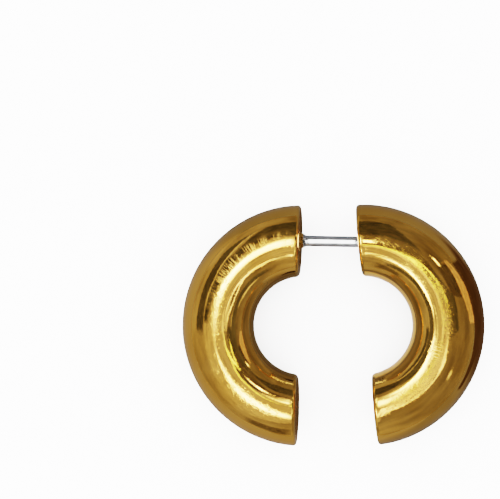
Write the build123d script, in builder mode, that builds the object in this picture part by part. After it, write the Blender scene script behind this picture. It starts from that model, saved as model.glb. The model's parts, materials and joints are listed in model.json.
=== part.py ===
from build123d import *
from math import cos, radians, sin
import os

# Half-and-half horseshoe earring, lying on its side, in millimetres.
# +X runs along the ear post, from the half that carries it to the half that takes it.
# +Z is up and stands square to the plane of the ring. The lowest point of both halves is at Z = 0.

# Driving dimensions: the bent bar
bar_diameter = 8.0
bend_radius = 9.5
saw_cut = 0.9
end_rounding = 0.4

# Driving dimensions: how the two halves stand to each other
lobe_gap = 6.6
lean_angle = 6.5

# Driving dimensions: the ear post and its solder collar
post_diameter = 1.2
post_free_length = 13.0
post_seat_depth = 2.5
post_tip_rounding = 0.3
collar_base_diameter = 2.0
collar_length = 0.65
collar_wall = 0.1

# Driving dimensions: the socket and its grip plug
socket_drop = 0.2
socket_diameter = 4.1
grip_length = 3.0
grip_recess = 0.3
push_in_travel = 1.2
well_diameter = 1.5
well_spare_depth = 0.1

# Clearances
seat_clearance = 0.02
grip_hole_clearance = 0.03
grip_side_clearance = 0.03
grip_back_clearance = 0.05

# Sizes that follow
bar_radius = bar_diameter / 2
half_cut = saw_cut / 2
post_radius = post_diameter / 2
engaged_length = post_free_length - lobe_gap
socket_depth = grip_recess + grip_length + grip_back_clearance
well_depth = engaged_length + push_in_travel + well_spare_depth

# The leaning half turns about the point where the post enters it. The ring centre of each half is
# worked out from there, with X measured from the middle of the lobe gap along the post.
lean = radians(lean_angle)
pivot_rise = bend_radius - socket_drop
post_ring_x = half_cut - lobe_gap / 2
socket_ring_x = lobe_gap / 2 - half_cut * cos(lean) + pivot_rise * sin(lean)
socket_ring_y = bend_radius - half_cut * sin(lean) - pivot_rise * cos(lean)

# The origin lies under the middle of the overall length and width
middle_x = (post_ring_x + socket_ring_x) / 2
middle_y = socket_ring_y / 2
post_face_x = -middle_x - lobe_gap / 2
mouth_x = -middle_x + lobe_gap / 2
post_y = bend_radius - middle_y

# Planes square to the post: in the face of the post half, and where the post enters the socket half
post_plane = Plane(origin=(post_face_x, post_y, bar_radius), x_dir=(0, 1, 0), z_dir=(1, 0, 0))
mouth_plane = Plane(origin=(mouth_x, post_y, bar_radius), x_dir=(0, 1, 0), z_dir=(1, 0, 0))

# Place of each half's ring centre
post_half_place = Location((post_ring_x - middle_x, -middle_y, bar_radius), (0, 0, 180))
socket_half_place = Location(
    (socket_ring_x - middle_x, socket_ring_y - middle_y, bar_radius), (0, 0, lean_angle)
)

# The leaning face stands proud of the mouth plane on one side of the socket, by less than this
face_overhang = bar_diameter * sin(lean)


# Half of the sawn ring, about its own ring centre, on the +X side of the saw cut
with BuildPart() as sawn_half:
    with BuildSketch(Plane.YZ) as bar_section:
        with Locations((-bend_radius, 0)):
            Circle(bar_radius)
    revolve(axis=Axis.Z, revolution_arc=180)
    split(bisect_by=Plane.YZ.offset(half_cut), keep=Keep.TOP)
    end_faces = sawn_half.faces().group_by(Axis.X)[0]
    fillet(end_faces.edges(), radius=end_rounding)


# Half that carries the post, with its drilled seat and the solder collar round the root
with BuildPart() as post_half:
    with Locations(post_half_place):
        add(sawn_half.part)
    with BuildSketch(post_plane) as collar_base:
        Circle(collar_base_diameter / 2)
    with BuildSketch(post_plane.offset(collar_length)) as collar_top:
        Circle(post_radius + seat_clearance + collar_wall)
    loft()
    with BuildSketch(post_plane.offset(-post_seat_depth)) as post_seat:
        Circle(post_radius + seat_clearance)
    extrude(amount=post_seat_depth + collar_length, mode=Mode.SUBTRACT)
post_half.part.label = "post_half"


# Straight round post, from the bottom of its seat to its rounded free tip
with BuildPart() as ear_post:
    with BuildSketch(post_plane.offset(seat_clearance - post_seat_depth)) as post_section:
        Circle(post_radius)
    extrude(amount=post_seat_depth - seat_clearance + post_free_length)
    post_tip = ear_post.faces().sort_by(Axis.X)[-1]
    fillet(post_tip.edges(), radius=post_tip_rounding)
ear_post.part.label = "ear_post"


# Half that takes the post. The socket and the narrower well behind it lie along the post,
# so they enter the leaning face at a slant.
with BuildPart() as socket_half:
    with Locations(socket_half_place):
        add(sawn_half.part)
    with BuildSketch(mouth_plane.offset(-face_overhang)) as socket_section:
        Circle(socket_diameter / 2)
    extrude(amount=face_overhang + socket_depth, mode=Mode.SUBTRACT)
    with BuildSketch(mouth_plane) as well_section:
        Circle(well_diameter / 2)
    extrude(amount=well_depth, mode=Mode.SUBTRACT)
socket_half.part.label = "socket_half"


# Grip plug in the socket, with the hole that the post pushes into
with BuildPart() as socket_grip:
    with BuildSketch(mouth_plane.offset(grip_recess)) as grip_section:
        Circle(socket_diameter / 2 - grip_side_clearance)
        Circle(post_radius + grip_hole_clearance, mode=Mode.SUBTRACT)
    extrude(amount=grip_length)
socket_grip.part.label = "socket_grip"


os.makedirs("parts", exist_ok=True)
export_step(post_half.part, "parts/post_half.step")
export_step(ear_post.part, "parts/ear_post.step")
export_step(socket_half.part, "parts/socket_half.step")
export_step(socket_grip.part, "parts/socket_grip.step")
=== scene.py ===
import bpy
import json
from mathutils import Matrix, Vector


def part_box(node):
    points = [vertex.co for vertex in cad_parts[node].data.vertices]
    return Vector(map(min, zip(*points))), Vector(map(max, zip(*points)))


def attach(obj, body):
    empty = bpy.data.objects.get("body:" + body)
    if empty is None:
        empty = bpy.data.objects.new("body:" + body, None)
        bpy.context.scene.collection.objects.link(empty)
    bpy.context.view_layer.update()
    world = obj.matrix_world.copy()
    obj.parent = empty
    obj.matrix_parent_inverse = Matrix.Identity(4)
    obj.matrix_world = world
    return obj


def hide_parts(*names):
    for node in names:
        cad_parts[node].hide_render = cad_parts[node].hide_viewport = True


bl_info = {
    "name": "Horseshoe earring",
    "version": (1, 0, 0),
    "blender": (4, 5, 0),
    "location": "3D View > Sidebar > Earring",
    "description": "Gold halves, ear post, solder collar and grip plug of a half-and-half earring",
    "category": "Object",
}

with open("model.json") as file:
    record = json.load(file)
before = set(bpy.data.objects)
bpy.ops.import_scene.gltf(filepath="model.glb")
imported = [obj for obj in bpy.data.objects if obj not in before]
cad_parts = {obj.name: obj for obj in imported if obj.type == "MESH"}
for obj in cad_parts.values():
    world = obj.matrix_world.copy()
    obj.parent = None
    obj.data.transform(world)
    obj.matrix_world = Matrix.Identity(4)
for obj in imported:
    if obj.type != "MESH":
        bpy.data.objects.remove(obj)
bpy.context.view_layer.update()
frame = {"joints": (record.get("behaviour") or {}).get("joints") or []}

import json
from collections import namedtuple
from math import asin, atan2, cos, hypot, pi, sin, tan

import bmesh
import bpy
from mathutils import Matrix, Vector, noise

MM = 0.001
DEG = pi / 180

# Places that follow from the frame, in metres. The post runs along +X, +Z is up, and both halves
# lie flat, so the height of one half is the thickness of its bar. The mouth is the point on the
# axis of the post where the post enters the socket half.
post_half_low, post_half_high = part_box("post_half")
ear_post_low, ear_post_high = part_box("ear_post")
socket_grip_low, socket_grip_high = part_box("socket_grip")
turn_joint = next(joint for joint in frame["joints"] if joint["name"] == "turn_on_post")
mouth = Vector(turn_joint["pos_m"])
bar_radius_in_frame = (post_half_high.z - post_half_low.z) / 2
post_radius_in_frame = (ear_post_high.z - ear_post_low.z) / 2
plug_radius_in_frame = (socket_grip_high.z - socket_grip_low.z) / 2

# Clearances: round the root of the post in its seat, round the plug and round the post in the plug,
# and behind the plug
SEAT_CLEARANCE = 0.02 * MM
GRIP_CLEARANCE = 0.03 * MM
PLUG_BACK_CLEARANCE = 0.05 * MM


class EarringSizes(bpy.types.PropertyGroup):
    """Sizes of the four pieces that a maker would change"""

    bar_radius: bpy.props.FloatProperty(
        name="Bar radius",
        description="Radius of the round bar that both halves are bent from",
        default=bar_radius_in_frame,
        unit="LENGTH",
    )
    bend_radius: bpy.props.FloatProperty(
        name="Bend radius",
        description="Radius of the ring, to the middle of the bar",
        default=9.5 * MM,
        unit="LENGTH",
    )
    half_cut: bpy.props.FloatProperty(
        name="Half of the saw cut",
        description="Distance from the middle of the ring to each sawn face",
        default=0.45 * MM,
        unit="LENGTH",
    )
    end_rounding: bpy.props.FloatProperty(
        name="End rounding",
        description="Radius of the rounded edge round each sawn face",
        default=0.4 * MM,
        unit="LENGTH",
    )
    lean: bpy.props.FloatProperty(
        name="Lean",
        description="Angle between the socket half and the post half, in the plane of the ring",
        default=6.5 * DEG,
        subtype="ANGLE",
    )
    post_radius: bpy.props.FloatProperty(
        name="Post radius",
        description="Radius of the round ear post",
        default=post_radius_in_frame,
        unit="LENGTH",
    )
    seat_depth: bpy.props.FloatProperty(
        name="Seat depth",
        description="Depth of the drilled seat that holds the root of the post",
        default=2.5 * MM,
        unit="LENGTH",
    )
    socket_radius: bpy.props.FloatProperty(
        name="Socket radius",
        description="Radius of the drilled socket that takes the grip plug",
        default=plug_radius_in_frame + GRIP_CLEARANCE,
        unit="LENGTH",
    )
    socket_drop: bpy.props.FloatProperty(
        name="Socket drop",
        description="How far the post enters below the middle of the bar",
        default=0.2 * MM,
        unit="LENGTH",
    )
    well_radius: bpy.props.FloatProperty(
        name="Well radius",
        description="Radius of the narrower hole behind the socket, for the tip of the post",
        default=0.75 * MM,
        unit="LENGTH",
    )
    well_depth: bpy.props.FloatProperty(
        name="Well depth",
        description="Depth of the narrower hole, from the mouth of the socket",
        default=7.7 * MM,
        unit="LENGTH",
    )


class EarringFinish(bpy.types.PropertyGroup):
    """Colours of the metals and the grip plug"""

    gold_colour: bpy.props.FloatVectorProperty(
        name="Gold",
        description="Colour of the polished plating",
        default=(0.92, 0.49, 0.12),
        size=3,
        min=0,
        max=1,
        subtype="COLOR",
    )
    gold_deep_colour: bpy.props.FloatVectorProperty(
        name="Deep gold",
        description="Colour where the plating lies thicker or is a little tarnished",
        default=(0.86, 0.44, 0.095),
        size=3,
        min=0,
        max=1,
        subtype="COLOR",
    )
    steel_colour: bpy.props.FloatVectorProperty(
        name="Steel",
        description="Colour of the drawn steel post",
        default=(0.62, 0.62, 0.62),
        size=3,
        min=0,
        max=1,
        subtype="COLOR",
    )
    solder_colour: bpy.props.FloatVectorProperty(
        name="Solder",
        description="Colour of the bare solder at the tip of the collar",
        default=(0.50, 0.47, 0.45),
        size=3,
        min=0,
        max=1,
        subtype="COLOR",
    )
    grip_colour: bpy.props.FloatVectorProperty(
        name="Grip plug",
        description="Colour of the dark grip plug",
        default=(0.014, 0.011, 0.012),
        size=3,
        min=0,
        max=1,
        subtype="COLOR",
    )


class EarringStudio(bpy.types.PropertyGroup):
    """Floor, light and camera"""

    floor_colour: bpy.props.FloatVectorProperty(
        name="Floor",
        description="Colour of the plain floor",
        default=(0.93, 0.93, 0.93),
        size=3,
        min=0,
        max=1,
        subtype="COLOR",
    )
    room_light: bpy.props.FloatProperty(
        name="Room light",
        description="Strength of the even light that falls on the floor",
        default=8.0,
    )
    dim_side: bpy.props.FloatProperty(
        name="Dim side of the room",
        description="Brightness of the right side of the room as the metal mirrors it",
        default=0.21,
    )
    bright_side: bpy.props.FloatProperty(
        name="Bright side of the room",
        description="Brightness of the left side of the room as the metal mirrors it",
        default=0.37,
    )
    camera_distance: bpy.props.FloatProperty(
        name="Camera distance",
        description="Distance from the camera to the ring, along its line of sight",
        default=301.7 * MM,
        unit="LENGTH",
    )


def sizes():
    return bpy.context.scene.earring_sizes


def finish():
    return bpy.context.scene.earring_finish


def studio():
    return bpy.context.scene.earring_studio


# Mesh helpers

ALONG_POST = Vector((1, 0, 0))
SECTION_STEPS = 128
# Points closer together than this are one point
MERGE_DISTANCE = 0.0001 * MM
# A face that lies this near to a plane, and faces this squarely along its way, is part of it
FLAT_DISTANCE = 0.001 * MM
FLAT_FACING = 0.999
# A bored wall gets its rows at these shares of the way that is left. A short row at each end keeps
# the shading straight
BORED_ROWS = (0.04, 0.95, 1.0)


def mesh_object(name, bm, material, smooth=True):
    """Makes the finished bmesh a mesh object at the origin."""
    bmesh.ops.remove_doubles(bm, verts=bm.verts[:], dist=MERGE_DISTANCE)
    bmesh.ops.recalc_face_normals(bm, faces=bm.faces[:])
    mesh = bpy.data.meshes.new(name)
    bm.to_mesh(mesh)
    bm.free()
    if smooth:
        mesh.shade_smooth()
    mesh.materials.append(material)
    obj = bpy.data.objects.new(name, mesh)
    bpy.context.scene.collection.objects.link(obj)
    return obj


def piece(name, bm, material, body, node):
    """Makes the finished bmesh a piece that rides on a body and stands for a CAD node."""
    obj = mesh_object(name, bm, material)
    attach(obj, body)
    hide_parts(node)
    return obj


def ring_about_post(bm, x, radius, slope=0.0, steps=SECTION_STEPS):
    """A circle round the axis of the post. With a slope it lies in a plane that leans by that much."""
    turned = Matrix.Rotation(90 * DEG, 4, "Y")
    leaning = Matrix.Identity(4)
    leaning[0][1] = slope
    place = Matrix.Translation((x, mouth.y, mouth.z)) @ leaning @ turned
    verts = bmesh.ops.create_circle(bm, segments=steps, radius=radius, matrix=place)["verts"]
    return list(dict.fromkeys(edge for vert in verts for edge in vert.link_edges))


def bored(bm, edges, x):
    """Draws a ring of edges along the post to x, and returns the edges at the far end."""
    for share in BORED_ROWS:
        new = bmesh.ops.extrude_edge_only(bm, edges=edges)["geom"]
        far = {item for item in new if isinstance(item, bmesh.types.BMVert)}
        for vert in far:
            vert.co.x += (x - vert.co.x) * share
        drawn = [item for item in new if isinstance(item, bmesh.types.BMEdge)]
        edges = [edge for edge in drawn if edge.verts[0] in far and edge.verts[1] in far]
    return edges


def rounded(bm, edges, radius, steps):
    """Rounds the edges over."""
    bmesh.ops.bevel(
        bm,
        geom=edges,
        offset=radius,
        offset_type="OFFSET",
        segments=steps,
        profile=0.5,
        affect="EDGES",
        clamp_overlap=False,
        material=-1,
    )


def kept_flat(bm, point, normal, margin):
    """Insets the faces in a plane by a narrow margin, so that smooth shading leaves them flat."""
    flat = [
        face
        for face in bm.faces
        if abs((face.calc_center_median() - point).dot(normal)) < FLAT_DISTANCE
        and abs(face.normal.dot(normal)) > FLAT_FACING
    ]
    bmesh.ops.inset_region(
        bm, faces=flat, thickness=margin, depth=0, use_even_offset=True, use_boundary=True
    )


def lathed(bm, profile, steps):
    """Spins a closed profile of (x, radius) points once round the axis of the post."""
    verts = [bm.verts.new((x, mouth.y + radius, mouth.z)) for x, radius in profile]
    edges = [bm.edges.new((verts[i - 1], verts[i])) for i in range(len(verts))]
    bmesh.ops.spin(
        bm,
        geom=verts + edges,
        cent=mouth,
        axis=ALONG_POST,
        angle=2 * pi,
        steps=steps,
        use_merge=True,
    )


def away_from_axis(vert):
    """How a point stands to the axis of the post, square to it."""
    return Vector((0, vert.co.y - mouth.y, vert.co.z - mouth.z))


def noise_share(point):
    """Smooth noise at a point, from 0 to 1."""
    return 0.5 + 0.5 * noise.noise(point)


# The two gold halves

BEND_STEPS = 160
# Width of the row of faces behind each sawn end, at the inside of the bend and in end roundings: the
# rounding has to fit into it
END_ROW = 1.3
END_ROUNDING_STEPS = 8
MOUTH_ROUNDING = 0.07 * MM
MOUTH_ROUNDING_STEPS = 3
FACE_MARGIN = 0.03 * MM
# A point this near to the plane of a sawn face is part of the face
SAWN_DISTANCE = 0.02 * MM
# Polishing by hand leaves the bar uneven: by how much and how widely, and a start for each half
POLISH_DEPTH = 0.012 * MM
POLISH_PITCH = 3.0 * MM
POST_HALF_START = 4.0
SOCKET_HALF_START = 9.0

Wear = namedtuple("Wear", "bend side bend_reach side_reach sanded combed")

# Where each half is worn. bend is how far round the half the place lies, from the open end of the post
# half and from the socket of the socket half, and side is how far round the bar (0 is outwards and 90
# is the crest). Both, and how far the wear reaches each way, are in degrees. sanded and combed say how
# strongly the place is sanded, and combed across.
POST_HALF_WEAR = (
    Wear(140, 76, 46, 11, 0.2, 1.0),
    Wear(99, 88, 30, 13, 1.0, 0.3),
    Wear(60, 74, 26, 14, 0.6, 0.2),
    Wear(172, 92, 6, 12, 0.7, 0.2),
    Wear(38, 84, 32, 16, 0.8, 0.2),
)
SOCKET_HALF_WEAR = (
    Wear(28, 82, 26, 9, 0.7, 0.3),
    Wear(82, 88, 26, 14, 0.9, 0.3),
    Wear(50, 104, 20, 7, 0.8, 0.2),
    Wear(113, 103, 14, 16, 0.4, 1.0),
    Wear(146, 96, 24, 14, 0.9, 0.4),
)


def post_half_place():
    """Place of the half that carries the post, whose bent bar is turned to the -X side."""
    size = sizes()
    centre = (post_half_low + post_half_high) / 2
    centre.x = post_half_low.x + size.bend_radius + size.bar_radius
    return Matrix.Translation(centre) @ Matrix.Rotation(pi, 4, "Z")


def post_face_x():
    """Where along the post the face lies that the post stands out of."""
    return post_half_place().translation.x - sizes().half_cut


def socket_face_ways():
    """The way from the leaning face into the socket half, and the way up that face."""
    lean = sizes().lean
    return Vector((cos(lean), sin(lean), 0)), Vector((-sin(lean), cos(lean), 0))


def socket_half_place():
    """Place of the half with the socket, leaning about the point where the post enters it."""
    size = sizes()
    into_half, up_face = socket_face_ways()
    rise = size.bend_radius - size.socket_drop
    centre = mouth - into_half * size.half_cut - up_face * rise
    return Matrix.Translation(centre) @ Matrix.Rotation(size.lean, 4, "Z")


def bent_bar(place, up_face):
    """Half a ring of round bar, bent on the +X side of the saw cut and then put in its place.

    Returns it with the edges of its upper end, left open, and of its lower end, which is filled.
    """
    size = sizes()
    bm = bmesh.new()
    upright = Matrix.Translation((0, size.bend_radius, 0)) @ Matrix.Rotation(90 * DEG, 4, "Y")
    bmesh.ops.create_circle(bm, segments=SECTION_STEPS, radius=size.bar_radius, matrix=upright)
    end_row = END_ROW * size.end_rounding / (size.bend_radius - size.bar_radius)
    last = bm.verts[:] + bm.edges[:]
    for angle, steps in ((end_row, 1), (pi - 2 * end_row, BEND_STEPS), (end_row, 1)):
        last = bmesh.ops.spin(
            bm, geom=last, cent=(0, 0, 0), axis=(0, 0, -1), angle=angle, steps=steps
        )["geom_last"]
    # The bend closes up a little at both ends, so that the sawn faces lie flat at the cut
    for vert in bm.verts:
        reach = hypot(vert.co.x, vert.co.y)
        turn = atan2(abs(vert.co.x), vert.co.y)
        start = asin(size.half_cut / reach)
        turn = start + turn * (pi - 2 * start) / pi
        vert.co.x = reach * sin(turn)
        vert.co.y = reach * cos(turn)
    bmesh.ops.transform(bm, matrix=place, verts=bm.verts[:])
    ends = [edge for edge in bm.edges if edge.is_boundary]
    heights = [(edge.verts[0].co - place.translation).dot(up_face) for edge in ends]
    upper = [edge for edge, height in zip(ends, heights) if height > 0]
    lower = [edge for edge, height in zip(ends, heights) if height < 0]
    bmesh.ops.edgeloop_fill(bm, edges=lower)
    return bm, upper, lower


def post_half_mesh(place):
    """The half that carries the post, with the drilled seat for its root."""
    size = sizes()
    bm, upper, lower = bent_bar(place, Vector((0, 1, 0)))
    face_x = post_face_x()
    seat = ring_about_post(bm, face_x, size.post_radius + SEAT_CLEARANCE)
    bmesh.ops.bridge_loops(bm, edges=upper + seat)
    bottom = bored(bm, seat, face_x - size.seat_depth)
    bmesh.ops.edgeloop_fill(bm, edges=bottom)
    rounded(bm, upper + lower, size.end_rounding, END_ROUNDING_STEPS)
    bm.normal_update()
    kept_flat(bm, Vector((face_x, 0, 0)), ALONG_POST, FACE_MARGIN)
    return bm


def socket_half_mesh(place):
    """The half that takes the post, with the socket and the narrower well behind it."""
    size = sizes()
    into_half, up_face = socket_face_ways()
    bm, upper, lower = bent_bar(place, up_face)
    socket = ring_about_post(bm, mouth.x, size.socket_radius, -tan(size.lean))
    bmesh.ops.bridge_loops(bm, edges=upper + socket)
    shelf_x = socket_grip_high.x + PLUG_BACK_CLEARANCE
    shelf = bored(bm, socket, shelf_x)
    well = ring_about_post(bm, shelf_x, size.well_radius)
    bmesh.ops.bridge_loops(bm, edges=shelf + well)
    bottom = bored(bm, well, mouth.x + size.well_depth)
    bmesh.ops.edgeloop_fill(bm, edges=bottom)
    rounded(bm, upper + lower, size.end_rounding, END_ROUNDING_STEPS)
    rounded(bm, socket, MOUTH_ROUNDING, MOUTH_ROUNDING_STEPS)
    bm.normal_update()
    kept_flat(bm, place.translation + into_half * size.half_cut, into_half, FACE_MARGIN)
    return bm


def hand_polished(bm, start):
    """Moves the surface by a hair here and there, as polishing by hand does."""
    bm.normal_update()
    shift = Vector((start, 2 * start, 3 * start))
    moves = [
        (vert, vert.normal * POLISH_DEPTH * noise_share(vert.co / POLISH_PITCH + shift))
        for vert in bm.verts
    ]
    for vert, move in moves:
        vert.co -= move


def mark_straight_bar(obj, place, wear):
    """Writes where each point would lie in a straight bar, and how sanded, combed and sawn it is."""
    back = place.inverted()
    size = sizes()
    marks = obj.data.attributes
    marks.new("straight_bar", "FLOAT_VECTOR", "POINT")
    marks.new("wear", "FLOAT_VECTOR", "POINT")
    bar = marks["straight_bar"]
    worn = marks["wear"]
    for index, vert in enumerate(obj.data.vertices):
        local = back @ vert.co
        bend = atan2(local.x, local.y)
        out = hypot(local.x, local.y) - size.bend_radius
        side = atan2(local.z, out)
        bar.data[index].vector = (size.bend_radius * bend, out, local.z)
        sanded = combed = 0.0
        for spot in wear:
            reach = hypot(
                (bend / DEG - spot.bend) / spot.bend_reach, (side / DEG - spot.side) / spot.side_reach
            )
            near = max(0.0, 1 - reach * reach)
            sanded = max(sanded, spot.sanded * near)
            combed = max(combed, spot.combed * near)
        sawn = float(abs(local.x - size.half_cut) < SAWN_DISTANCE)
        worn.data[index].vector = (sanded, combed, sawn)


class EARRING_OT_gold_halves(bpy.types.Operator):
    """Both gold halves: bent round bar, sawn flat, with the seat of the post and the socket"""

    bl_idname = "earring.gold_halves"
    bl_label = "Gold halves"

    def execute(self, context):
        gold = gold_material()
        place = post_half_place()
        bm = post_half_mesh(place)
        hand_polished(bm, POST_HALF_START)
        obj = piece("gold_post_half", bm, gold, "post_side", "post_half")
        mark_straight_bar(obj, place, POST_HALF_WEAR)
        place = socket_half_place()
        bm = socket_half_mesh(place)
        hand_polished(bm, SOCKET_HALF_START)
        obj = piece("gold_socket_half", bm, gold, "socket_side", "socket_half")
        mark_straight_bar(obj, place, SOCKET_HALF_WEAR)
        return {"FINISHED"}


# The solder collar

COLLAR_BASE_RADIUS = 1.0 * MM
COLLAR_LENGTH = 0.62 * MM
COLLAR_TIP_WALL = 0.045 * MM
COLLAR_TIP_EDGE = 0.01 * MM
COLLAR_CLEARANCE = 0.006 * MM
# How far the collar reaches into the face that it stands on
COLLAR_SUNK = 0.03 * MM
# Power of the collar's flare: at 1 it is a plain cone
COLLAR_FLARE = 1.15
COLLAR_ROWS = 14
COLLAR_STEPS = 96
# Points nearer to the bore than this stay where they are
COLLAR_BORE_MARGIN = 0.01 * MM
# Width and height of the lumps of the solder, and of the ripples on them, in millimetres
LUMP_WIDTH = 0.33
LUMP_HEIGHT = 0.045
RIPPLE_WIDTH = 0.14
RIPPLE_HEIGHT = 0.015


class EARRING_OT_solder_collar(bpy.types.Operator):
    """Small collar of solder round the root of the post"""

    bl_idname = "earring.solder_collar"
    bl_label = "Solder collar"

    def execute(self, context):
        size = sizes()
        face_x = post_face_x()
        tip_radius = size.post_radius + COLLAR_TIP_WALL
        inner_radius = size.post_radius + COLLAR_CLEARANCE
        flare = [
            (
                face_x - COLLAR_SUNK + (COLLAR_LENGTH + COLLAR_SUNK) * i / COLLAR_ROWS,
                tip_radius + (COLLAR_BASE_RADIUS - tip_radius) * (1 - i / COLLAR_ROWS) ** COLLAR_FLARE,
            )
            for i in range(COLLAR_ROWS + 1)
        ]
        inside = [
            (face_x + COLLAR_LENGTH - COLLAR_TIP_EDGE, inner_radius),
            (face_x - COLLAR_SUNK, inner_radius),
        ]
        bm = bmesh.new()
        lathed(bm, flare + inside, COLLAR_STEPS)
        for vert in bm.verts:
            out = away_from_axis(vert)
            if out.length > inner_radius + COLLAR_BORE_MARGIN:
                lump = noise.noise(vert.co / (LUMP_WIDTH * MM))
                ripple = noise.noise(vert.co / (RIPPLE_WIDTH * MM))
                vert.co += out.normalized() * (LUMP_HEIGHT * lump + RIPPLE_HEIGHT * ripple) * MM
        piece("solder_collar", bm, solder_material(), "post_side", "post_half")
        return {"FINISHED"}


# The post

POST_STEPS = 64
TIP_ROUNDING = 0.3 * MM
TIP_ROUNDING_STEPS = 8
POST_END_MARGIN = 0.02 * MM


class EARRING_OT_steel_post(bpy.types.Operator):
    """Straight round ear post with its rounded tip"""

    bl_idname = "earring.steel_post"
    bl_label = "Steel post"

    def execute(self, context):
        bm = bmesh.new()
        root = ring_about_post(bm, ear_post_low.x, sizes().post_radius, steps=POST_STEPS)
        bmesh.ops.edgeloop_fill(bm, edges=root)
        tip = bored(bm, root, ear_post_high.x)
        bmesh.ops.edgeloop_fill(bm, edges=tip)
        rounded(bm, tip, TIP_ROUNDING, TIP_ROUNDING_STEPS)
        bm.normal_update()
        kept_flat(bm, ear_post_low, ALONG_POST, POST_END_MARGIN)
        kept_flat(bm, ear_post_high, ALONG_POST, POST_END_MARGIN)
        piece("steel_post", bm, steel_material(), "post_side", "ear_post")
        return {"FINISHED"}


# The grip plug

PLUG_STEPS = 128
PLUG_BACK_BEVEL = 0.05 * MM
PLUG_RIM = 0.22 * MM
PLUG_RIM_STEPS = 6
# How far the flat front lies inside the front of the CAD plug, and how many rings of faces it has
PLUG_FRONT_BACK = 0.02 * MM
PLUG_FRONT_RINGS = 8
# The hole opens out to a lip at the front: how much wider it is where the flat front ends, and then,
# in millimetres, how far behind the front its points lie and how much wider it is there
LIP_WIDTH = 0.12 * MM
LIP_POINTS = ((0.05, 0.05), (0.14, 0.01), (0.3, 0.0))
# The front is ragged: how far the wear reaches from the rim and from the front, and in millimetres how
# deep the notches in the rim are, and how wide and deep the hollows in the front are
RAGGED_REACH = 0.5 * MM
NOTCH_DEPTH = 0.32
HOLLOW_WIDTH = 0.5
HOLLOW_DEPTH = 0.10
# How fast the notches follow each other round the rim, and a start for their noise
NOTCH_PACE = 4.5
NOTCH_START = Vector((0, 0, 7.3))
# Points nearer to the hole than this don't sink
HOLE_MARGIN = 0.06 * MM


def plug_profile(hole):
    """The plug's (x, radius) points: its back, its side, the rounded rim, the front and the lip."""
    front = socket_grip_low.x
    back = socket_grip_high.x
    radius = plug_radius_in_frame
    rim = radius - PLUG_RIM
    lip = hole + LIP_WIDTH
    profile = [
        (back, hole),
        (back, radius - PLUG_BACK_BEVEL),
        (back - PLUG_BACK_BEVEL, radius),
        (front + 2 * PLUG_RIM, radius),
    ]
    for i in range(PLUG_RIM_STEPS + 1):
        turn = 90 * DEG * i / PLUG_RIM_STEPS
        x = front + PLUG_RIM * (1 - sin(turn)) + PLUG_FRONT_BACK
        profile.append((x, rim + PLUG_RIM * cos(turn)))
    for i in range(1, PLUG_FRONT_RINGS + 1):
        profile.append((front + PLUG_FRONT_BACK, rim - (rim - lip) * i / PLUG_FRONT_RINGS))
    return profile + [(front + behind * MM, hole + wider * MM) for behind, wider in LIP_POINTS]


class EARRING_OT_grip_plug(bpy.types.Operator):
    """Dark plug in the socket, with a ragged rim and the hole that grips the post"""

    bl_idname = "earring.grip_plug"
    bl_label = "Grip plug"

    def execute(self, context):
        hole = post_radius_in_frame + GRIP_CLEARANCE
        bm = bmesh.new()
        lathed(bm, plug_profile(hole), PLUG_STEPS)
        for vert in bm.verts:
            out = away_from_axis(vert)
            reach = out.length
            near_rim = max(0.0, 1 - abs(plug_radius_in_frame - reach) / RAGGED_REACH)
            near_front = max(0.0, 1 - (vert.co.x - socket_grip_low.x) / RAGGED_REACH)
            turn = atan2(out.y, out.z)
            notch = abs(noise.noise(Vector((cos(turn), sin(turn), 0)) * NOTCH_PACE + NOTCH_START))
            vert.co -= out.normalized() * NOTCH_DEPTH * MM * notch * near_rim * near_front
            if near_front > 0 and reach > hole + HOLE_MARGIN:
                hollow = noise_share(vert.co / (HOLLOW_WIDTH * MM))
                vert.co.x += HOLLOW_DEPTH * MM * hollow * near_front
        piece("grip_plug", bm, grip_material(), "grip", "socket_grip")
        return {"FINISHED"}


# Node helpers and shared node groups

# Sockets of a Mix node that mixes colours. Its sockets for numbers have the same names.
FIRST_COLOUR = 6
SECOND_COLOUR = 7
MIXED_COLOUR = 2
WHITE = (1, 1, 1, 1)


def add(tree, kind, place, inputs=None, **properties):
    """Adds a node, sets its properties, and then its inputs' values by their names or numbers."""
    node = tree.nodes.new(kind)
    node.location = place
    for name, value in properties.items():
        setattr(node, name, value)
    for name, value in (inputs or {}).items():
        node.inputs[name].default_value = value
    return node


def join(tree, *links):
    """Joins nodes. A link is a node, its output, the node that it goes to, and that one's input."""
    for source, output, target, entry in links:
        tree.links.new(source.outputs[output], target.inputs[entry])


def along(tree, place, way):
    """Measures how far a vector reaches along a way."""
    return add(tree, "ShaderNodeVectorMath", place, {1: way}, operation="DOT_PRODUCT")


def smooth_step(tree, place, start=0.0, end=1.0, low=0.0, high=1.0):
    """Rises smoothly from low to high while its value goes from start to end."""
    inputs = {"From Min": start, "From Max": end, "To Min": low, "To Max": high}
    return add(tree, "ShaderNodeMapRange", place, inputs, interpolation_type="SMOOTHSTEP")


def mix_colours(tree, place, first=None, second=None):
    """Mixes two colours. One that isn't given is joined on later."""
    node = add(tree, "ShaderNodeMix", place, data_type="RGBA")
    for socket, colour in ((FIRST_COLOUR, first), (SECOND_COLOUR, second)):
        if colour is not None:
            node.inputs[socket].default_value = (*colour, 1)
    return node


def bump(tree, place, height, distance, strength=0.5, under=None):
    """Turns a height into a bump, on top of another one where that is given."""
    node = add(tree, "ShaderNodeBump", place, {"Distance": distance, "Strength": strength})
    tree.links.new(height, node.inputs["Height"])
    if under:
        join(tree, (under, "Normal", node, "Normal"))
    return node


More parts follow.
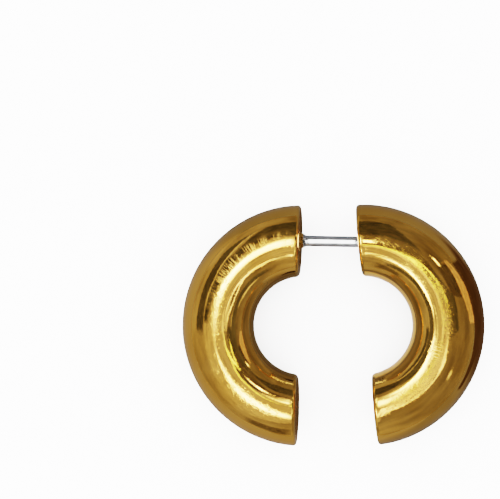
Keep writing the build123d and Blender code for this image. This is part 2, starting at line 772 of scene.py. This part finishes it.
def new_group(name, inputs, outputs):
    """A shader node group with named sockets, each (name, kind, default)."""
    tree = bpy.data.node_groups.new(name, "ShaderNodeTree")
    for label, kind, default in inputs:
        socket = tree.interface.new_socket(name=label, in_out="INPUT", socket_type=kind)
        if default is not None:
            socket.default_value = default
    for label, kind in outputs:
        tree.interface.new_socket(name=label, in_out="OUTPUT", socket_type=kind)
    return tree, tree.nodes.new("NodeGroupInput"), tree.nodes.new("NodeGroupOutput")


def use_group(tree, group, place, **inputs):
    return add(tree, "ShaderNodeGroup", place, inputs, node_tree=group)


def fine_lines_group():
    """Noise drawn out into hairlines, grain or waves, as a height. Lines says how close they are."""
    name = "Fine lines"
    if name in bpy.data.node_groups:
        return bpy.data.node_groups[name]
    tree, given, result = new_group(
        name,
        [
            ("Vector", "NodeSocketVector", None),
            ("Lines", "NodeSocketVector", (12000, 1500, 1500)),
            ("Detail", "NodeSocketFloat", 3.0),
        ],
        [("Height", "NodeSocketFloat")],
    )
    scale = add(tree, "ShaderNodeVectorMath", (-400, 0), operation="MULTIPLY")
    streak = add(tree, "ShaderNodeTexNoise", (-200, 0), {"Scale": 1.0, "Roughness": 0.6})
    join(
        tree,
        (given, "Vector", scale, 0),
        (given, "Lines", scale, 1),
        (scale, "Vector", streak, "Vector"),
        (given, "Detail", streak, "Detail"),
        (streak, "Fac", result, "Height"),
    )
    return tree


def mottle_group():
    """Soft cloudy patches, as a mask with a chosen edge."""
    name = "Mottle"
    if name in bpy.data.node_groups:
        return bpy.data.node_groups[name]
    tree, given, result = new_group(
        name,
        [
            ("Vector", "NodeSocketVector", None),
            ("Scale", "NodeSocketFloat", 400.0),
            ("From", "NodeSocketFloat", 0.4),
            ("To", "NodeSocketFloat", 0.65),
        ],
        [("Mask", "NodeSocketFloat")],
    )
    cloud = add(tree, "ShaderNodeTexNoise", (-400, 0), {"Detail": 4.0, "Roughness": 0.55})
    cut = smooth_step(tree, (-200, 0))
    join(
        tree,
        (given, "Vector", cloud, "Vector"),
        (given, "Scale", cloud, "Scale"),
        (cloud, "Fac", cut, "Value"),
        (given, "From", cut, "From Min"),
        (given, "To", cut, "From Max"),
        (cut, "Result", result, "Mask"),
    )
    return tree


# Materials of the pieces

# Roughness of the gold where it is polished, from clear to cloudy, what sanding adds, and the roughness
# of a combed scratch and of a sawn face
POLISHED_ROUGHNESS = {"To Min": 0.03, "To Max": 0.07}
SANDING_ROUGHNESS = 0.12
SCRATCH_ROUGHNESS = 0.36
SAWN_ROUGHNESS = 0.2
# Strength of the grain where the gold isn't sanded, and the least share of it in a sanded place
POLISHED_GRAIN = 0.09
SANDED_GRAIN_SHARE = 0.4
# How bright the darker streaks of the steel and the paler patches of the plug are against the rest
STEEL_STREAKS = 0.8
PLUG_PATCHES = 2.6
# The plating on the solder as shares of the deep gold, from pale to dark: painted shade at the root
# # of the post. Then where the plating ends, from the face of the half
SHADED_PLATING_PALE = 0.7
SHADED_PLATING_DARK = 0.3
PLATING_FADES = 0.28 * MM
PLATING_GONE = 0.42 * MM


def new_material(name, metallic):
    material = bpy.data.materials.new(name)
    material.use_nodes = True
    tree = material.node_tree
    shader = tree.nodes["Principled BSDF"]
    shader.inputs["Metallic"].default_value = metallic
    return material, tree, shader


def join_shader(tree, shader, colour, rough, top):
    """Joins the mixed colour, the roughness and the topmost bump to the shader."""
    join(
        tree,
        (colour, MIXED_COLOUR, shader, "Base Color"),
        (rough, "Result", shader, "Roughness"),
        (top, "Normal", shader, "Normal"),
    )


def gold_material():
    """Polished gold plating: sanded and combed where it is worn, smooth elsewhere, satin where sawn."""
    material, tree, shader = new_material("polished_gold", 1.0)
    bar = add(tree, "ShaderNodeAttribute", (-1600, 0), attribute_name="straight_bar")
    lines = use_group(tree, fine_lines_group(), (-1100, -200), Lines=(7000, 600, 600))
    grain = use_group(tree, fine_lines_group(), (-1100, -400), Lines=(3600, 3600, 3600))
    scuffs = use_group(tree, mottle_group(), (-1100, -1000), Scale=3200.0, From=0.56, To=0.72)
    waves = use_group(tree, fine_lines_group(), (-1100, -600), Lines=(260, 420, 420), Detail=1.0)
    clouds = use_group(tree, mottle_group(), (-1100, 200), Scale=260.0)
    patches = use_group(tree, mottle_group(), (-1100, 400), Scale=620.0, From=0.35, To=0.75)
    for group in (lines, grain, scuffs, waves, clouds, patches):
        join(tree, (bar, "Vector", group, "Vector"))
    wear = add(tree, "ShaderNodeAttribute", (-1600, -800), attribute_name="wear")
    kinds = add(tree, "ShaderNodeSeparateXYZ", (-1400, -800))
    uneven = add(tree, "ShaderNodeMapRange", (-1000, -800), {"To Min": SANDED_GRAIN_SHARE})
    sanded = add(tree, "ShaderNodeMath", (-800, -800), operation="MULTIPLY")
    worn = add(tree, "ShaderNodeMath", (-600, -800), {1: POLISHED_GRAIN}, operation="ADD")
    colour = mix_colours(tree, (-500, 300), finish().gold_colour, finish().gold_deep_colour)
    rough = add(tree, "ShaderNodeMapRange", (-900, 0), POLISHED_ROUGHNESS)
    dulled = add(tree, "ShaderNodeMath", (-700, 0), {1: SANDING_ROUGHNESS}, operation="MULTIPLY_ADD")
    stroke = smooth_step(tree, (-900, -200), 0.48, 0.6)
    scratched = add(tree, "ShaderNodeMath", (-800, -100), operation="MULTIPLY")
    brushed = add(tree, "ShaderNodeMix", (-600, -100), {"B": SCRATCH_ROUGHNESS}, data_type="FLOAT")
    satin = add(tree, "ShaderNodeMix", (-500, 0), {"B": SAWN_ROUGHNESS}, data_type="FLOAT")
    low = bump(tree, (-700, -600), waves.outputs["Height"], 0.07 * MM)
    mid = bump(tree, (-500, -450), grain.outputs["Height"], 0.036 * MM, under=low)
    deep = bump(tree, (-400, -400), scuffs.outputs["Mask"], 0.018 * MM, under=mid)
    top = bump(tree, (-300, -300), lines.outputs["Height"], 0.008 * MM, under=deep)
    join(
        tree,
        (wear, "Vector", kinds, "Vector"),
        (patches, "Mask", uneven, "Value"),
        (kinds, "X", sanded, 0),
        (uneven, "Result", sanded, 1),
        (sanded, 0, worn, 0),
        (worn, 0, mid, "Strength"),
        (worn, 0, deep, "Strength"),
        (kinds, "Y", top, "Strength"),
        (clouds, "Mask", colour, "Factor"),
        (patches, "Mask", rough, "Value"),
        (sanded, 0, dulled, 0),
        (rough, "Result", dulled, 2),
        (lines, "Height", stroke, "Value"),
        (stroke, "Result", scratched, 0),
        (kinds, "Y", scratched, 1),
        (scratched, 0, brushed, "Factor"),
        (dulled, 0, brushed, "A"),
        (brushed, "Result", satin, "A"),
        (kinds, "Z", satin, "Factor"),
    )
    join_shader(tree, shader, colour, satin, top)
    return material


def steel_material():
    """Drawn steel: grey, with lines along the wire."""
    material, tree, shader = new_material("drawn_steel", 1.0)
    where = add(tree, "ShaderNodeTexCoord", (-1300, 0))
    lines = use_group(tree, fine_lines_group(), (-1000, -200), Lines=(300, 9000, 9000))
    clouds = use_group(tree, mottle_group(), (-1000, 200), Scale=900.0)
    steel = Vector(finish().steel_colour)
    colour = mix_colours(tree, (-500, 300), steel, steel * STEEL_STREAKS)
    rough = add(tree, "ShaderNodeMapRange", (-500, 0), {"To Min": 0.12, "To Max": 0.24})
    top = bump(tree, (-500, -300), lines.outputs["Height"], 0.002 * MM)
    join(
        tree,
        (where, "Object", lines, "Vector"),
        (where, "Object", clouds, "Vector"),
        (clouds, "Mask", colour, "Factor"),
        (lines, "Height", rough, "Value"),
    )
    join_shader(tree, shader, colour, rough, top)
    return material


def solder_material():
    """Solder, plated at the base and bare towards the tip; the plating is painted dark as shade."""
    material, tree, shader = new_material("plated_solder", 1.0)
    face_x = post_face_x()
    where = add(tree, "ShaderNodeTexCoord", (-1300, 0))
    split = add(tree, "ShaderNodeSeparateXYZ", (-1100, 300))
    bare = smooth_step(tree, (-900, 300), face_x + PLATING_FADES, face_x + PLATING_GONE)
    grain = use_group(tree, fine_lines_group(), (-1000, -200), Lines=(6000, 6000, 6000))
    clouds = use_group(tree, mottle_group(), (-1000, 0), Scale=3500.0)
    gold = Vector(finish().gold_deep_colour)
    # Painted shade: darker copies of the deep gold keep the collar dark at the root of the post
    shaded_plating = mix_colours(tree, (-700, 300), gold * SHADED_PLATING_PALE, gold * SHADED_PLATING_DARK)
    colour = mix_colours(tree, (-500, 300), second=finish().solder_colour)
    rough = add(tree, "ShaderNodeMapRange", (-500, 0), {"To Min": 0.12, "To Max": 0.35})
    top = bump(tree, (-500, -300), grain.outputs["Height"], 0.02 * MM, strength=0.6)
    join(
        tree,
        (where, "Object", split, "Vector"),
        (where, "Object", grain, "Vector"),
        (where, "Object", clouds, "Vector"),
        (split, "X", bare, "Value"),
        (clouds, "Mask", shaded_plating, "Factor"),
        (shaded_plating, MIXED_COLOUR, colour, FIRST_COLOUR),
        (bare, "Result", colour, "Factor"),
        (clouds, "Mask", rough, "Value"),
    )
    join_shader(tree, shader, colour, rough, top)
    return material


def grip_material():
    """Dark rubbery plug with a rough, slightly torn surface."""
    material, tree, shader = new_material("dark_grip", 0.0)
    shader.inputs["Specular IOR Level"].default_value = 0.4
    where = add(tree, "ShaderNodeTexCoord", (-1300, 0))
    grain = use_group(tree, fine_lines_group(), (-1000, -200), Lines=(4200, 4200, 4200))
    clouds = use_group(tree, mottle_group(), (-1000, 200), Scale=2200.0)
    dark = Vector(finish().grip_colour)
    colour = mix_colours(tree, (-500, 300), dark, dark * PLUG_PATCHES)
    rough = add(tree, "ShaderNodeMapRange", (-500, 0), {"To Min": 0.42, "To Max": 0.7})
    top = bump(tree, (-500, -300), grain.outputs["Height"], 0.06 * MM, strength=0.6)
    join(
        tree,
        (where, "Object", grain, "Vector"),
        (where, "Object", clouds, "Vector"),
        (clouds, "Mask", colour, "Factor"),
        (grain, "Height", rough, "Value"),
    )
    join_shader(tree, shader, colour, rough, top)
    return material


# The studio

# Cards show only in reflections, and give the metal something to mirror. middle, width and height are
# in millimetres; turn about Z and then tilt about the card's own X are in degrees; edge is the share
# of the card over which it fades out, uneven how much its glow varies, and slant how much the card
# rises along its width.
Card = namedtuple(
    "Card", "name middle width height turn tilt glow edge uneven tint slant", defaults=("plain", 0)
)
TINTS = {
    "plain": WHITE,
    "cool": (0.86, 1.0, 1.05, 1),
    "warm": (1.0, 0.82, 0.8, 1),
    "lemon": (0.98, 1.12, 0.55, 1),
}
CARDS = (
    Card("tent_roof", (-13.75, -9.75, 39.5), 64.5, 44.7, 90, -25.1, 0.58, 0.03, 0.5),
    Card("tent_corner", (10, -4.5, 47.5), 11, 11, 0, 0, 0.9, 0.2, 0.5),
    Card("crest_light", (1.8, -2.3, 44.5), 8, 4.5, 25, 0, 1.5, 0.6, 0.5),
    Card("tent_shade", (-28.5, 11, 29.5), 10, 26, 0, 0, 0.09, 0.15, 0.7, "cool"),
    Card("tent_shade_inner", (-21.5, 14, 29.4), 8, 28, -23, 0, 0.09, 0.3, 0.7, "cool"),
    Card("camera_shade", (8, 12.5, 46), 24, 27, 0, 0, 0.12, 0.02, 0.6),
    Card("pane", (9, 2.2, 45), 17, 6, 30, 0, 0.25, 0.02, 0.6),
    Card("beyond_pane", (29.5, 4, 50), 25, 16, 0, 0, 0.1, 0.1, 0.6, "cool"),
    Card("rim_side", (3.6, -15.5, 43), 3.0, 25, -8, 0, 3.5, 0.4, 0.4),
    Card("rim_back", (0, 1.2, 43), 11, 2.0, 6, 0, 2.2, 0.4, 0.4, "lemon"),
    Card("pane_rim_near", (5.6, 2.9, 44.3), 10.5, 2.2, 50, 0, 4.5, 0.4, 0.4, "lemon"),
    Card("pane_rim_middle", (11.5, 6.7, 44.3), 7, 2.2, -3, 0, 4.5, 0.4, 0.4, "lemon"),
    Card("pane_rim_far", (16, 4.6, 44.3), 6.5, 2.8, -40, 0, 4.0, 0.4, 0.4, "lemon"),
    Card("front_rim_end", (6.4, -20, 44.3), 2.6, 12, 0, 0, 3.0, 0.4, 0.4),
    Card("front_rim_near", (8.6, -14.4, 44.3), 9, 3.6, -8, 0, 3.5, 0.5, 0.4),
    Card("front_rim_middle", (15.4, -13, 44.3), 9.5, 3.6, 32, 0, 3.5, 0.5, 0.4),
    Card("front_rim_far", (15.6, -7.6, 44.3), 11, 3.6, 131, 0, 3.5, 0.5, 0.4),
    Card("lamp_upper", (-13, 6.5, 37), 26, 13, 35, 0, 22.0, 1.0, 0.3),
    Card("lamp_middle", (-7.6, 5.7, 37), 12.5, 6.5, -10, 0, 10.0, 0.9, 0.3),
    Card("lamp_low", (3.6, -3.6, 20), 2.2, 6.5, 12, 0, 7.0, 0.8, 0.3),
    Card("lamp_end", (1.9, 9.0, 37), 4.4, 6.5, 0, 0, 11.0, 0.8, 0.3),
    Card("lamp_lower", (-13.5, -14.5, 37), 32, 12, -40, 0, 16.0, 1.0, 0.3),
    Card("lamp_post", (-0.35, 9.4, 5.6), 5.4, 1.8, 0, 0, 6.0, 0.08, 0.2),
    Card("collar_shade", (-3.0, 9.4, 5.2), 3, 0.8, 90, 90, 0.05, 0.05, 0.3, "cool"),
    Card("inner_floor_left", (-5.4, -0.5, 0.05), 7.5, 12, 0, 0, 0.12, 0.5, 0.3),
    Card("inner_floor_right", (5.2, 0, 0.05), 8, 13, 0, 0, 0.62, 0.4, 0.3),
    Card("gap_shade_upper", (-2.7, 9.6, 0.06), 2.6, 8, 0, 0, 0.03, 0.3, 0.3, "warm"),
    Card("gap_shade_lower", (-2.7, -9.6, 0.06), 2.6, 8, 0, 0, 0.03, 0.3, 0.3, "warm"),
    Card("flag_back", (-6, 39, 30), 48, 42, 0, 0, 0.085, 0.06, 0.6, "cool"),
    Card("flag_left", (-55.5, 26, 30), 37, 66, 4, 0, 0.10, 0.10, 0.5, "cool"),
    Card("tan_left", (-35.5, 30, 30), 2.5, 60, 0, 0, 0.9, 0.3, 0.3),
    Card("window_dark", (56, 27.2, 68), 22, 76, 116, 98, 0.09, 0.05, 0.6),
    Card("window_bright", (26.7, 20.7, 32), 4.5, 9, 131, 100, 4.5, 0.4, 0.9),
    Card("spot_right", (38.2, -21.3, 37.7), 6, 12, 57, 90, 1.1, 0.6, 0.6),
    Card("spot_between", (5.8, -8.9, 17), 7, 5, 50, 90, 0.9, 0.4, 0.5),
    Card("shade_between", (0, -2.5, 15.5), 13, 5, 90, 90, 0.12, 0.3, 0.6, "cool"),
    Card("dark_right", (26, 0.5, 1), 33, 11, 90, 90, 0.07, 0.08, 0.2, "warm", 0.19),
    Card("floor_right", (25, 4, 0.05), 20, 36, 0, 0, 0.08, 0.5, 0.2, "warm"),
    Card("bar_right", (69.4, 24, 26.4), 50, 32, 107, 90, 0.66, 0.06, 0.5, "warm", 0.7),
    Card("patch_front", (-28, -67, 23), 52, 30, 20, 90, 0.14, 0.5, 0.4),
    Card("screen", (0, 0, 3.6), 12, 7, 90, 90, 0.2, 0.1, 0.5),
)
UNEVEN_SCALE = 260

# How far the floor reaches from the earring, in metres
FLOOR_REACH = 0.6
# The floor as the metal mirrors it on the right and on the left, and the way to the left on it
FLOOR_RIGHT = (0.031, 0.033, 0.038)
FLOOR_LEFT = (0.050, 0.050, 0.052)
FLOOR_LEFTWARD = (-0.8, -0.6, 0)
# The way to the bright side of the room
ROOM_LEFTWARD = (-0.93, -0.37, 0)


def card_material(card):
    """A glow that fades out over the card's edge and varies a little over the card."""
    material = bpy.data.materials.new(card.name)
    material.use_nodes = True
    tree = material.node_tree
    tree.nodes.clear()
    where = add(tree, "ShaderNodeUVMap", (-1100, 0), uv_map="card")
    split = add(tree, "ShaderNodeSeparateXYZ", (-900, 0))
    join(tree, (where, "UV", split, "Vector"))
    sides = []
    for axis in ("X", "Y"):
        from_edge = add(tree, "ShaderNodeMath", (-700, 0), {1: 0.5}, operation="PINGPONG")
        fade = smooth_step(tree, (-500, 0), 0.0, card.edge / 2)
        join(tree, (split, axis, from_edge, 0), (from_edge, 0, fade, "Value"))
        sides.append(fade)
    mask = add(tree, "ShaderNodeMath", (-300, 0), operation="MULTIPLY")
    place = add(tree, "ShaderNodeTexCoord", (-900, 300))
    cloud = add(tree, "ShaderNodeTexNoise", (-700, 300), {"Scale": UNEVEN_SCALE, "Detail": 5.0})
    glows = {
        "From Min": 0.25,
        "From Max": 0.75,
        "To Min": card.glow * (1 - card.uneven),
        "To Max": card.glow * (1 + card.uneven),
    }
    level = add(tree, "ShaderNodeMapRange", (-500, 300), glows)
    glow = add(tree, "ShaderNodeEmission", (-100, 100), {"Color": TINTS[card.tint]})
    clear = add(tree, "ShaderNodeBsdfTransparent", (-100, -100))
    blend = add(tree, "ShaderNodeMixShader", (100, 0))
    output = add(tree, "ShaderNodeOutputMaterial", (300, 0))
    join(
        tree,
        (place, "Object", cloud, "Vector"),
        (cloud, "Fac", level, "Value"),
        (level, "Result", glow, "Strength"),
        (sides[0], "Result", mask, 0),
        (sides[1], "Result", mask, 1),
        (mask, 0, blend, 0),
        (clear, 0, blend, 1),
        (glow, 0, blend, 2),
        (blend, 0, output, "Surface"),
    )
    return material


def add_card(card):
    """A card of a size of 1 is stretched, slanted, tilted, turned and then put in its place."""
    bm = bmesh.new()
    bm.loops.layers.uv.new("card")
    slanting = Matrix.Identity(4)
    slanting[1][0] = card.slant
    place = (
        Matrix.Translation(Vector(card.middle) * MM)
        @ Matrix.Rotation(card.turn * DEG, 4, "Z")
        @ Matrix.Rotation(card.tilt * DEG, 4, "X")
        @ slanting
        @ Matrix.Diagonal((card.width * MM, card.height * MM, 1, 1))
    )
    bmesh.ops.create_grid(bm, x_segments=1, y_segments=1, size=0.5, matrix=place, calc_uvs=True)
    obj = mesh_object(card.name, bm, card_material(card), smooth=False)
    obj.visible_camera = False
    obj.visible_diffuse = False
    obj.visible_shadow = False
    obj.visible_transmission = False


def floor_material():
    """Plain pale floor. The metal mirrors it much darker, and darker still on the right."""
    material, tree, shader = new_material("pale_floor", 0.0)
    shader.inputs["Roughness"].default_value = 0.9
    shader.inputs["Specular IOR Level"].default_value = 0.0
    ray = add(tree, "ShaderNodeLightPath", (-700, 200))
    place = add(tree, "ShaderNodeTexCoord", (-1300, 0))
    leftward = along(tree, (-1100, 0), FLOOR_LEFTWARD)
    side = smooth_step(tree, (-900, 0), 2 * MM, 15 * MM)
    mirrored = mix_colours(tree, (-700, 0), FLOOR_RIGHT, FLOOR_LEFT)
    colour = mix_colours(tree, (-400, 200), first=studio().floor_colour)
    join(
        tree,
        (place, "Object", leftward, 0),
        (leftward, "Value", side, "Value"),
        (side, "Result", mirrored, "Factor"),
        (ray, "Is Glossy Ray", colour, "Factor"),
        (mirrored, MIXED_COLOUR, colour, SECOND_COLOUR),
        (colour, MIXED_COLOUR, shader, "Base Color"),
    )
    return material


def add_floor():
    bm = bmesh.new()
    bmesh.ops.create_grid(bm, x_segments=1, y_segments=1, size=FLOOR_REACH)
    obj = mesh_object("floor", bm, floor_material(), smooth=False)


def light_room():
    """Even light from all round; the metal mirrors a duller room than the one that lights the floor."""
    world = bpy.data.worlds.new("plain_room")
    bpy.context.scene.world = world
    world.use_nodes = True
    tree = world.node_tree
    tree.nodes.clear()
    ray = add(tree, "ShaderNodeLightPath", (-600, 200))
    even = {"Strength": studio().room_light, "Color": WHITE}
    lit = add(tree, "ShaderNodeBackground", (-400, 0), even)
    mirrored = add(tree, "ShaderNodeBackground", (-400, -200), {"Color": WHITE})
    way = add(tree, "ShaderNodeTexCoord", (-1000, -200))
    leftward = along(tree, (-800, -200), ROOM_LEFTWARD)
    side = smooth_step(tree, (-600, -200), -0.35, 0.5, studio().dim_side, studio().bright_side)
    cloud = add(tree, "ShaderNodeTexNoise", (-800, -500), {"Scale": 3.0, "Detail": 3.0})
    shares = {"From Min": 0.3, "From Max": 0.7, "To Min": 0.65, "To Max": 1.35}
    uneven = add(tree, "ShaderNodeMapRange", (-600, -500), shares)
    level = add(tree, "ShaderNodeMath", (-400, -400), operation="MULTIPLY")
    blend = add(tree, "ShaderNodeMixShader", (-200, 0))
    output = add(tree, "ShaderNodeOutputWorld", (0, 0))
    join(
        tree,
        (way, "Generated", leftward, 0),
        (leftward, "Value", side, "Value"),
        (way, "Generated", cloud, "Vector"),
        (cloud, "Fac", uneven, "Value"),
        (side, "Result", level, 0),
        (uneven, "Result", level, 1),
        (level, 0, mirrored, "Strength"),
        (ray, "Is Glossy Ray", blend, 0),
        (lit, 0, blend, 1),
        (mirrored, 0, blend, 2),
        (blend, 0, output, "Surface"),
    )


# The camera looks nearly straight down. The angles are how the ring's plane stands to the picture.
CAMERA_YAW = -4.7 * DEG
CAMERA_PITCH = 2.0 * DEG
CAMERA_ROLL = -1.05 * DEG
SENSOR_WIDTH = 36.0
PICTURE_WIDTH = 500
FOCAL_PIXELS = 2700
# The middle of the ring: one bend radius from the post, half way along its bare part
RING_MIDDLE = Vector((-0.5278, -0.1044, 4.0)) * MM
# Where the middle of the picture lies from there, in the picture's plane
PICTURE_MIDDLE_RIGHT = -8.737 * MM
PICTURE_MIDDLE_UP = 8.581 * MM


def add_camera():
    data = bpy.data.cameras.new("camera")
    data.sensor_width = SENSOR_WIDTH
    data.lens = SENSOR_WIDTH * FOCAL_PIXELS / PICTURE_WIDTH
    data.clip_start = 0.01
    data.clip_end = 10.0
    turn = (
        Matrix.Rotation(CAMERA_ROLL, 3, "Z")
        @ Matrix.Rotation(CAMERA_PITCH, 3, "X")
        @ Matrix.Rotation(CAMERA_YAW, 3, "Y")
    ).transposed()
    reach = Vector((PICTURE_MIDDLE_RIGHT, PICTURE_MIDDLE_UP, studio().camera_distance))
    obj = bpy.data.objects.new("camera", data)
    obj.matrix_world = Matrix.Translation(RING_MIDDLE + turn @ reach) @ turn.to_4x4()
    bpy.context.scene.collection.objects.link(obj)
    bpy.context.scene.camera = obj


class EARRING_OT_studio(bpy.types.Operator):
    """Plain pale floor, soft light and the camera"""

    bl_idname = "earring.studio"
    bl_label = "Studio"

    def execute(self, context):
        add_floor()
        for card in CARDS:
            add_card(card)
        light_room()
        add_camera()
        context.scene.view_settings.view_transform = "Filmic"
        context.scene.view_settings.look = "High Contrast"
        return {"FINISHED"}


# The sidebar and the add-on

SETTINGS = {
    "earring_sizes": EarringSizes,
    "earring_finish": EarringFinish,
    "earring_studio": EarringStudio,
}
OPERATORS = (
    EARRING_OT_gold_halves,
    EARRING_OT_solder_collar,
    EARRING_OT_steel_post,
    EARRING_OT_grip_plug,
    EARRING_OT_studio,
)


class EARRING_PT_sidebar(bpy.types.Panel):
    """Buttons for the pieces and the studio"""

    bl_idname = "EARRING_PT_sidebar"
    bl_label = "Horseshoe earring"
    bl_space_type = "VIEW_3D"
    bl_region_type = "UI"
    bl_category = "Earring"

    def draw(self, context):
        for operator in OPERATORS:
            self.layout.operator(operator.bl_idname)
        for settings in SETTINGS:
            group = getattr(context.scene, settings)
            box = self.layout.box()
            for name in group.__annotations__:
                box.prop(group, name)


def register():
    for name, group in SETTINGS.items():
        bpy.utils.register_class(group)
        setattr(bpy.types.Scene, name, bpy.props.PointerProperty(type=group))
    for operator in OPERATORS:
        bpy.utils.register_class(operator)
    bpy.utils.register_class(EARRING_PT_sidebar)


def unregister():
    bpy.utils.unregister_class(EARRING_PT_sidebar)
    for operator in reversed(OPERATORS):
        bpy.utils.unregister_class(operator)
    for name, group in SETTINGS.items():
        delattr(bpy.types.Scene, name)
        bpy.utils.unregister_class(group)


def main():
    register()
    bpy.ops.earring.gold_halves()
    bpy.ops.earring.solder_collar()
    bpy.ops.earring.steel_post()
    bpy.ops.earring.grip_plug()
    bpy.ops.earring.studio()


if __name__ == "__main__":
    main()
